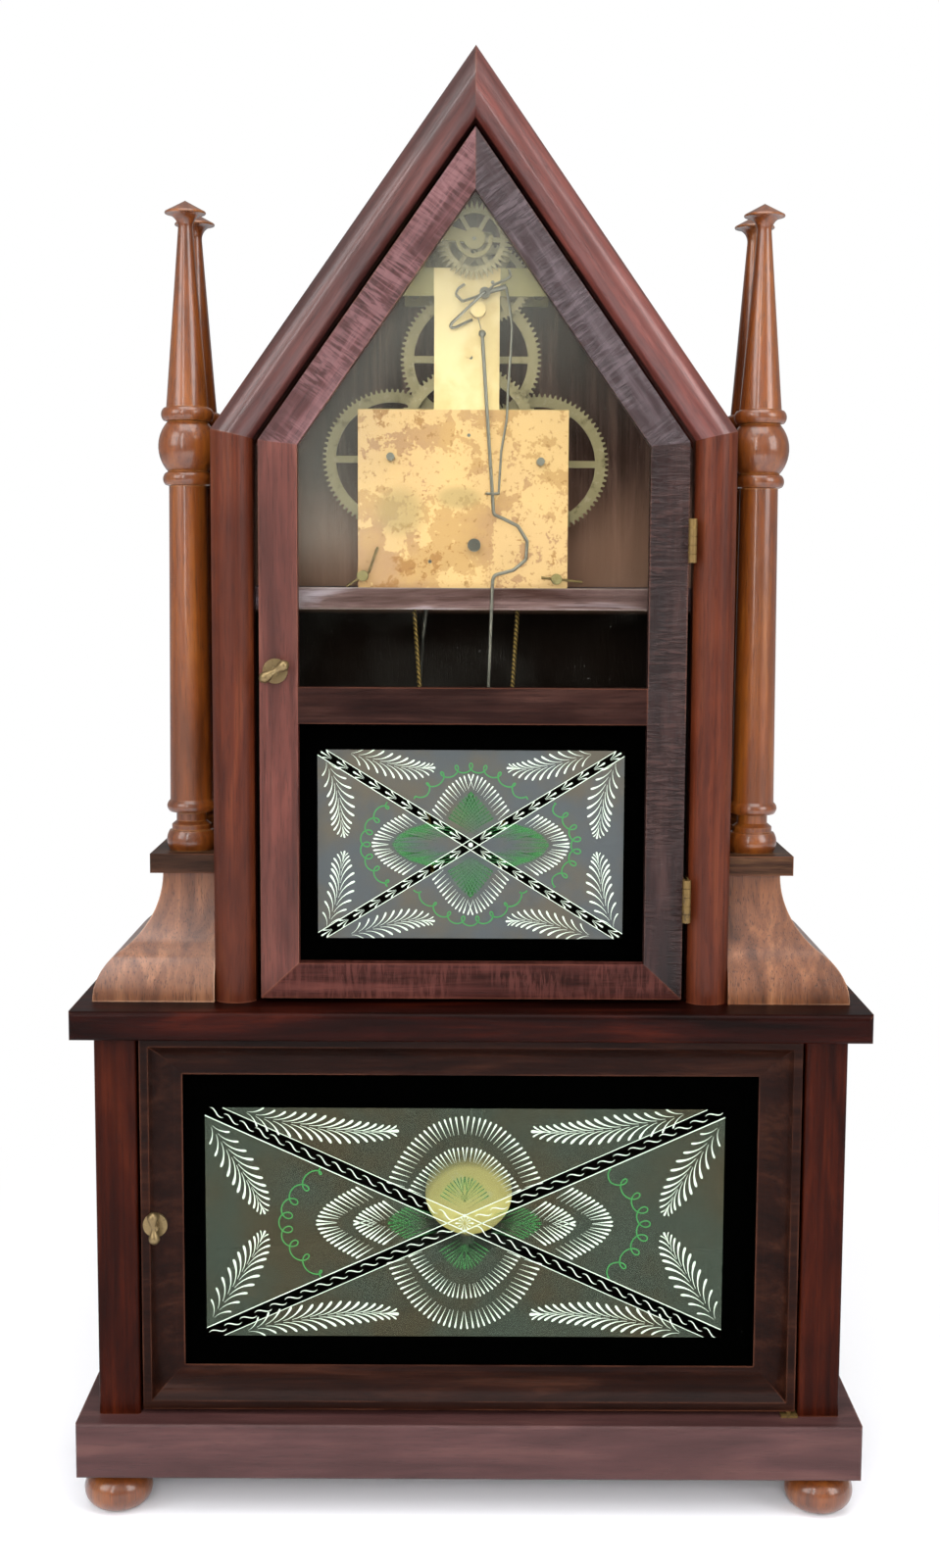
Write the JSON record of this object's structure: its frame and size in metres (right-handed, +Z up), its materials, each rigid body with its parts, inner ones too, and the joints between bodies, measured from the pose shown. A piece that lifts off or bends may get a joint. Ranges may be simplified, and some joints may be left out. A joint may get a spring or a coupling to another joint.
{
  "type": "double steeple shelf clock",
  "caption": "Pointed mahogany shelf clock with four turned steeples, two hinged doors with painted tablets, a brass movement and a leaf spring in the base.",
  "frame": {"origin": "middle of the clock at floor level, under the four feet", "axes": "+Z up, the doors face -Y, +X to the right as seen from the front"},
  "size_m": [0.3604, 0.126, 0.6615],
  "materials": {
    "mahogany_dark": "dark mahogany veneer, worn shellac",
    "mahogany": "mahogany veneer, satin shellac",
    "mahogany_ripple": "crosswise rippled mahogany veneer",
    "walnut_turned": "turned hardwood, glossy varnish",
    "ogee_veneer": "upright-grained mahogany veneer",
    "case_interior": "plain dark pine",
    "window_glass": "clear old window glass",
    "painted_glass": "reverse-painted glass",
    "plate_brass": "rolled brass, stained",
    "wheel_brass": "cast brass, tarnished",
    "steel": "drawn steel",
    "spring_steel": "blackened spring steel",
    "hardware_brass": "aged brass"
  },
  "bodies": {
    "case": {"back_plate": "plate_brass", "cap_board_left": "mahogany_dark", "cap_board_right": "mahogany_dark", "case_hinges": "hardware_brass", "foot_back_left": "walnut_turned", "foot_back_right": "walnut_turned", "foot_front_left": "walnut_turned", "foot_front_right": "walnut_turned", "front_plate": "plate_brass", "gong": "spring_steel", "leaf_spring": "spring_steel", "lower_back": "case_interior", "lower_side_left": "mahogany", "lower_side_right": "mahogany", "ogee_block_left": "ogee_veneer", "ogee_block_right": "ogee_veneer", "plinth": "mahogany_dark", "rake_moulding_left": "mahogany", "rake_moulding_right": "mahogany", "roof_board_left": "mahogany", "roof_board_right": "mahogany", "seat_board": "case_interior", "shelf": "mahogany_dark", "spring_chains": "hardware_brass", "spring_levers": "spring_steel", "steeple_back_left": "walnut_turned", "steeple_back_right": "walnut_turned", "steeple_front_left": "walnut_turned", "steeple_front_right": "walnut_turned", "taper_pins": "hardware_brass", "upper_back": "case_interior", "upper_post_left": "mahogany", "upper_post_right": "mahogany", "upper_side_left": "mahogany", "upper_side_right": "mahogany", "verge_wire": "steel"},
    "upper_door": {"upper_door_stile_left": "mahogany", "upper_door_stile_right": "mahogany_ripple", "upper_door_rake_left": "mahogany_dark", "upper_door_rake_right": "mahogany_ripple", "upper_door_bottom_rail": "mahogany", "upper_door_middle_rail": "mahogany_dark", "upper_pane": "window_glass", "upper_tablet": "painted_glass", "upper_door_hinges": "hardware_brass"},
    "upper_knob": {"upper_turn_knob": "hardware_brass"},
    "lower_door": {"lower_door_frame": "mahogany_dark", "lower_tablet": "painted_glass"},
    "lower_knob": {"lower_turn_knob": "hardware_brass"},
    "time_wheel": {"time_great_wheel": "wheel_brass"},
    "strike_wheel": {"strike_great_wheel": "wheel_brass"},
    "second_arbor": {"second_wheel": "wheel_brass"},
    "third_arbor": {"third_wheel": "wheel_brass"},
    "fourth_arbor": {"fourth_wheel": "wheel_brass"},
    "escape_arbor": {"escape_wheel": "wheel_brass"},
    "hand_arbor": {"hand_arbor": "steel"},
    "verge": {"verge_and_crutch": "steel"},
    "pendulum": {"pendulum_rod": "steel", "pendulum_bob": "hardware_brass"},
    "hammer": {"hammer": "steel"}
  },
  "joints": [
    {"name": "upper_door_hinge", "type": "hinge", "parent": "case", "child": "upper_door", "pos_m": [0.0971, -0.0445, 0.366], "axis": [0, 0, 1], "range_deg": [0, 110]},
    {"name": "upper_knob_turn", "type": "hinge", "parent": "upper_door", "child": "upper_knob", "pos_m": [-0.0884, -0.042, 0.3893], "axis": [0, -1, 0], "range_deg": [0, 65]},
    {"name": "lower_door_hinge", "type": "hinge", "parent": "case", "child": "lower_door", "pos_m": [0.1481, -0.0475, 0.1355], "axis": [0, 0, 1], "range_deg": [0, 100]},
    {"name": "lower_knob_turn", "type": "hinge", "parent": "lower_door", "child": "lower_knob", "pos_m": [-0.1439, -0.05, 0.1363], "axis": [0, 1, 0], "range_deg": [0, 90]},
    {"name": "escape_spin", "type": "hinge", "parent": "case", "child": "escape_arbor", "pos_m": [-0.00031, 0, 0.58222], "axis": [0, 1, 0], "continuous": true},
    {"name": "fourth_spin", "type": "hinge", "parent": "case", "child": "fourth_arbor", "pos_m": [0.00819, 0, 0.56462], "axis": [0, 1, 0], "continuous": true},
    {"name": "third_spin", "type": "hinge", "parent": "case", "child": "third_arbor", "pos_m": [-0.00151, 0, 0.53099], "axis": [0, 1, 0], "continuous": true},
    {"name": "second_spin", "type": "hinge", "parent": "case", "child": "second_arbor", "pos_m": [-0.00231, 0, 0.496], "axis": [0, 1, 0], "continuous": true},
    {"name": "time_wheel_spin", "type": "hinge", "parent": "case", "child": "time_wheel", "pos_m": [0.0305, 0, 0.4838], "axis": [0, 1, 0], "continuous": true},
    {"name": "hand_spin", "type": "hinge", "parent": "case", "child": "hand_arbor", "pos_m": [0.00029, 0, 0.44582], "axis": [0, 1, 0], "continuous": true},
    {"name": "strike_wheel_spin", "type": "hinge", "parent": "case", "child": "strike_wheel", "pos_m": [-0.038, 0, 0.4857], "axis": [0, 1, 0], "continuous": true},
    {"name": "pendulum_swing", "type": "hinge", "parent": "case", "child": "pendulum", "pos_m": [0.0016, -0.016, 0.5479], "axis": [0, 1, 0], "range_deg": [-3, 3]},
    {"name": "verge_rock", "type": "hinge", "parent": "case", "child": "verge", "pos_m": [0.0046, -0.016, 0.5589], "axis": [0, 1, 0], "range_deg": [-3, 3]},
    {"name": "hammer_lift", "type": "hinge", "parent": "case", "child": "hammer", "pos_m": [-0.02, 0, 0.4383], "axis": [0, 1, 0], "range_deg": [0, 12]}
  ],
  "couplings": [
    {"joint": "fourth_spin", "follows": "escape_spin", "ratio": -0.16667},
    {"joint": "third_spin", "follows": "escape_spin", "ratio": 0.016667},
    {"joint": "second_spin", "follows": "escape_spin", "ratio": -0.0016667},
    {"joint": "time_wheel_spin", "follows": "escape_spin", "ratio": 0.00016667},
    {"joint": "hand_spin", "follows": "escape_spin", "ratio": -0.00031746},
    {"joint": "verge_rock", "follows": "pendulum_swing", "ratio": 0.877}
  ]
}
